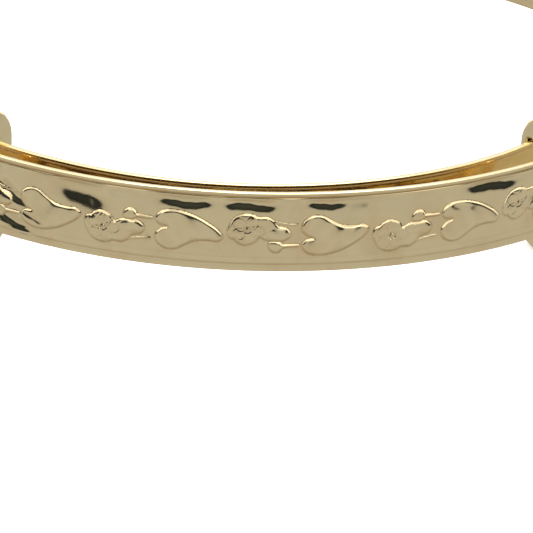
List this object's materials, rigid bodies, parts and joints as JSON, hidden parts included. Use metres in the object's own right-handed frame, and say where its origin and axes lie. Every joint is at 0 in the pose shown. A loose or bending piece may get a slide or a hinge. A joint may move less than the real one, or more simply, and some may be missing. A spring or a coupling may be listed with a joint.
{
  "type": "bangle bracelet",
  "caption": "Round expanding bangle: a thin sprung strip overlaps itself at the front and slides through a slotted oval collar on each end",
  "frame": {"origin": "middle of the whole bangle's box, on the ring's mid height", "axes": "+Z along the ring's axis; the overlap of the strip's two ends is at the front, facing -Y; +X to the right of the front"},
  "size_m": [0.053, 0.054, 0.0088],
  "materials": {
    "yellow_gold": "polished pale yellow gold, low relief rolled into the outer face"
  },
  "bodies": {
    "length_01": {"strip_01": "yellow_gold", "outer_end_collar": "yellow_gold"},
    "length_02": {"strip_02": "yellow_gold"},
    "length_03": {"strip_03": "yellow_gold"},
    "length_04": {"strip_04": "yellow_gold"},
    "length_05": {"strip_05": "yellow_gold"},
    "length_06": {"strip_06": "yellow_gold"},
    "length_07": {"strip_07": "yellow_gold"},
    "length_08": {"strip_08": "yellow_gold"},
    "length_09": {"strip_09": "yellow_gold"},
    "length_10": {"strip_10": "yellow_gold"},
    "length_11": {"strip_11": "yellow_gold"},
    "length_12": {"strip_12": "yellow_gold"},
    "length_13": {"strip_13": "yellow_gold"},
    "length_14": {"strip_14": "yellow_gold"},
    "length_15": {"strip_15": "yellow_gold"},
    "length_16": {"strip_16": "yellow_gold"},
    "length_17": {"strip_17": "yellow_gold", "inner_end_collar": "yellow_gold"}
  },
  "joints": [
    {"name": "flex_08", "type": "hinge", "parent": "length_09", "child": "length_08", "pos_m": [0.00615, 0.02608, 0], "axis": [0, 0, 1], "range_deg": [0, 4], "stiffness_Nm_per_rad": 0.13},
    {"name": "flex_07", "type": "hinge", "parent": "length_08", "child": "length_07", "pos_m": [0.0168, 0.02075, 0], "axis": [0, 0, 1], "range_deg": [0, 4], "stiffness_Nm_per_rad": 0.13},
    {"name": "flex_06", "type": "hinge", "parent": "length_07", "child": "length_06", "pos_m": [0.02401, 0.01128, 0], "axis": [0, 0, 1], "range_deg": [0, 4], "stiffness_Nm_per_rad": 0.13},
    {"name": "flex_05", "type": "hinge", "parent": "length_06", "child": "length_05", "pos_m": [0.02631, -0.0004, 0], "axis": [0, 0, 1], "range_deg": [0, 4], "stiffness_Nm_per_rad": 0.13},
    {"name": "flex_04", "type": "hinge", "parent": "length_05", "child": "length_04", "pos_m": [0.02333, -0.01194, 0], "axis": [0, 0, 1], "range_deg": [0, 4], "stiffness_Nm_per_rad": 0.13},
    {"name": "flex_03", "type": "hinge", "parent": "length_04", "child": "length_03", "pos_m": [0.01573, -0.02111, 0], "axis": [0, 0, 1], "range_deg": [0, 2.8], "stiffness_Nm_per_rad": 0.13},
    {"name": "flex_02", "type": "hinge", "parent": "length_03", "child": "length_02", "pos_m": [0.00494, -0.02616, 0], "axis": [0, 0, 1], "range_deg": [0, 2.8], "stiffness_Nm_per_rad": 0.13},
    {"name": "flex_01", "type": "hinge", "parent": "length_02", "child": "length_01", "pos_m": [-0.00698, -0.02613, 0], "axis": [0, 0, 1], "range_deg": [0, 2.8], "stiffness_Nm_per_rad": 0.13},
    {"name": "flex_09", "type": "hinge", "parent": "length_09", "child": "length_10", "pos_m": [-0.00576, 0.02617, 0], "axis": [0, 0, -1], "range_deg": [0, 3.2], "stiffness_Nm_per_rad": 0.13},
    {"name": "flex_10", "type": "hinge", "parent": "length_10", "child": "length_11", "pos_m": [-0.01649, 0.021, 0], "axis": [0, 0, -1], "range_deg": [0, 3.2], "stiffness_Nm_per_rad": 0.13},
    {"name": "flex_11", "type": "hinge", "parent": "length_11", "child": "length_12", "pos_m": [-0.02384, 0.01163, 0], "axis": [0, 0, -1], "range_deg": [0, 3.2], "stiffness_Nm_per_rad": 0.13},
    {"name": "flex_12", "type": "hinge", "parent": "length_12", "child": "length_13", "pos_m": [-0.02632, -0.00001, 0], "axis": [0, 0, -1], "range_deg": [0, 3.2], "stiffness_Nm_per_rad": 0.13},
    {"name": "flex_13", "type": "hinge", "parent": "length_13", "child": "length_14", "pos_m": [-0.0234, -0.01156, 0], "axis": [0, 0, -1], "range_deg": [0, 3.2], "stiffness_Nm_per_rad": 0.13},
    {"name": "flex_14", "type": "hinge", "parent": "length_14", "child": "length_15", "pos_m": [-0.0157, -0.02064, 0], "axis": [0, 0, -1], "range_deg": [0, 6.8], "stiffness_Nm_per_rad": 0.13},
    {"name": "flex_15", "type": "hinge", "parent": "length_15", "child": "length_16", "pos_m": [-0.00478, -0.02535, 0], "axis": [0, 0, -1], "range_deg": [0, 6.8], "stiffness_Nm_per_rad": 0.13},
    {"name": "flex_16", "type": "hinge", "parent": "length_16", "child": "length_17", "pos_m": [0.00702, -0.02409, 0], "axis": [0, 0, -1], "range_deg": [0, 6.8], "stiffness_Nm_per_rad": 0.13}
  ],
  "couplings": [
    {"joint": "flex_07", "follows": "flex_08", "ratio": 1},
    {"joint": "flex_06", "follows": "flex_08", "ratio": 1},
    {"joint": "flex_05", "follows": "flex_08", "ratio": 1},
    {"joint": "flex_04", "follows": "flex_08", "ratio": 1},
    {"joint": "flex_03", "follows": "flex_08", "ratio": 0.7},
    {"joint": "flex_02", "follows": "flex_08", "ratio": 0.7},
    {"joint": "flex_01", "follows": "flex_08", "ratio": 0.7},
    {"joint": "flex_09", "follows": "flex_08", "ratio": 0.8},
    {"joint": "flex_10", "follows": "flex_08", "ratio": 0.8},
    {"joint": "flex_11", "follows": "flex_08", "ratio": 0.8},
    {"joint": "flex_12", "follows": "flex_08", "ratio": 0.8},
    {"joint": "flex_13", "follows": "flex_08", "ratio": 0.8},
    {"joint": "flex_14", "follows": "flex_08", "ratio": 1.7},
    {"joint": "flex_15", "follows": "flex_08", "ratio": 1.7},
    {"joint": "flex_16", "follows": "flex_08", "ratio": 1.7}
  ]
}
